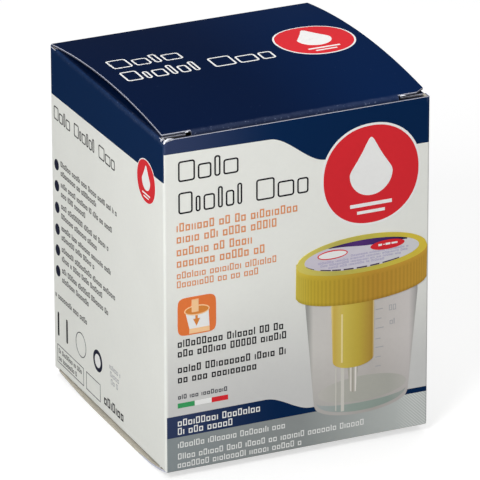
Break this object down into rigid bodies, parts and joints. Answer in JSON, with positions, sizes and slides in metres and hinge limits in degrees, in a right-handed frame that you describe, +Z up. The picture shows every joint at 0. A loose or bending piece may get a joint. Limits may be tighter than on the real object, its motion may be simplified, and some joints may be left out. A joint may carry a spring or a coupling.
{
  "type": "tuck-end folding carton",
  "caption": "Printed card folding carton with slit-lock tuck closures at top and bottom, packed with a screw-lid specimen container that has a sample tube well.",
  "frame": {"origin": "middle of the carton's base, on the surface that it stands on", "axes": "+Z up, -Y out of the front panel, +X to the right seen from the front"},
  "size_m": [0.066, 0.066, 0.0864],
  "materials": {
    "body_board": "coated, semi-gloss print",
    "closure_board": "coated, semi-gloss print",
    "cup_plastic": "natural polypropylene",
    "lid_plastic": "satin",
    "steel": "polished",
    "sleeve_rubber": "matte",
    "straw_plastic": "natural polyethylene",
    "label_paper": "coated"
  },
  "bodies": {
    "carton": {"carton_body": "body_board", "specimen_cup": "cup_plastic", "screw_lid": "lid_plastic", "cannula": "steel", "rubber_sleeve": "sleeve_rubber", "straw": "straw_plastic", "lid_label": "label_paper"},
    "top_closure": {"top_flap": "closure_board"},
    "bottom_closure": {"bottom_flap": "closure_board"}
  },
  "joints": [
    {"name": "top_crease", "type": "hinge", "parent": "carton", "child": "top_closure", "pos_m": [0, 0.03301, 0.0835], "axis": [-1, 0, 0], "range_deg": [0, 240]},
    {"name": "bottom_crease", "type": "hinge", "parent": "carton", "child": "bottom_closure", "pos_m": [0, -0.03301, 0.002], "axis": [-1, 0, 0], "range_deg": [0, 240]}
  ]
}
